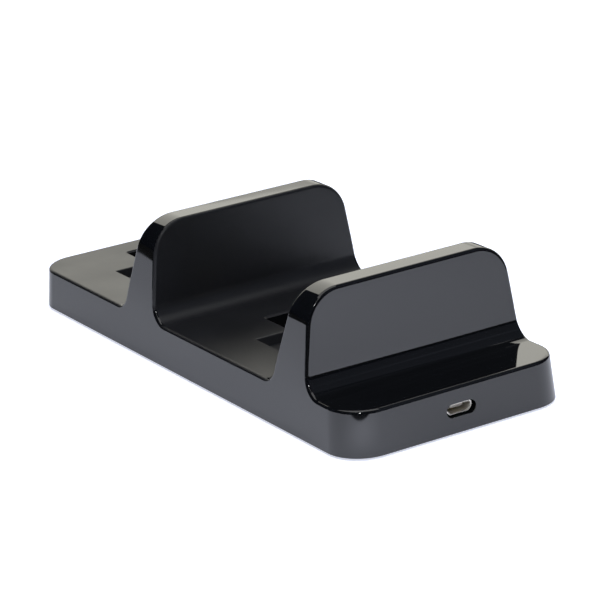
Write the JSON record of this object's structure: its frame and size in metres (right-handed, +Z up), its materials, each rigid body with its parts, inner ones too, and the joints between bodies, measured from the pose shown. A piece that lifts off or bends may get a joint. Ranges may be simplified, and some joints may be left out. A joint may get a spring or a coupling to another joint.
{
  "type": "controller charging dock",
  "caption": "Low oblong charging dock with a gloss shell, sloping backrests and a leaning charging plug in each bay, fed by a small socket in one end wall.",
  "frame": {"origin": "on the table under the middle of the dock", "axes": "+Z up, +Y towards the end wall with the inlet socket, X across the dock"},
  "size_m": [0.07, 0.1716, 0.0403],
  "materials": {
    "shell": "polished black moulding",
    "cover": "fine moulded grain, black",
    "foot": "matte black rubber",
    "screw": "blackened steel",
    "board": "green varnished laminate",
    "chip": "black moulded package",
    "capacitor": "tan ceramic",
    "connector_metal": "nickel-plated sheet",
    "insulator": "black moulded insulator",
    "contact": "gold-plated strips",
    "seat": "black moulded seat",
    "lead": "soft insulated lead"
  },
  "bodies": {
    "root": {"top_shell": "shell", "bottom_cover": "cover", "foot_front_left": "foot", "foot_front_right": "foot", "foot_rear_left": "foot", "foot_rear_right": "foot", "case_screws": "screw", "main_board": "board", "main_board_screws": "screw", "charge_chips": "chip", "chip_capacitors": "capacitor", "inlet_shell": "connector_metal", "inlet_tongue": "insulator", "inlet_contacts": "contact", "rear_leads": "lead", "front_leads": "lead", "front_plug_board": "board", "front_plug_board_screws": "screw", "front_plug_seat": "seat", "front_plug_shell": "connector_metal", "front_plug_tongue": "insulator", "front_plug_contacts": "contact", "rear_plug_board": "board", "rear_plug_board_screws": "screw", "rear_plug_seat": "seat", "rear_plug_shell": "connector_metal", "rear_plug_tongue": "insulator", "rear_plug_contacts": "contact"}
  },
  "joints": []
}
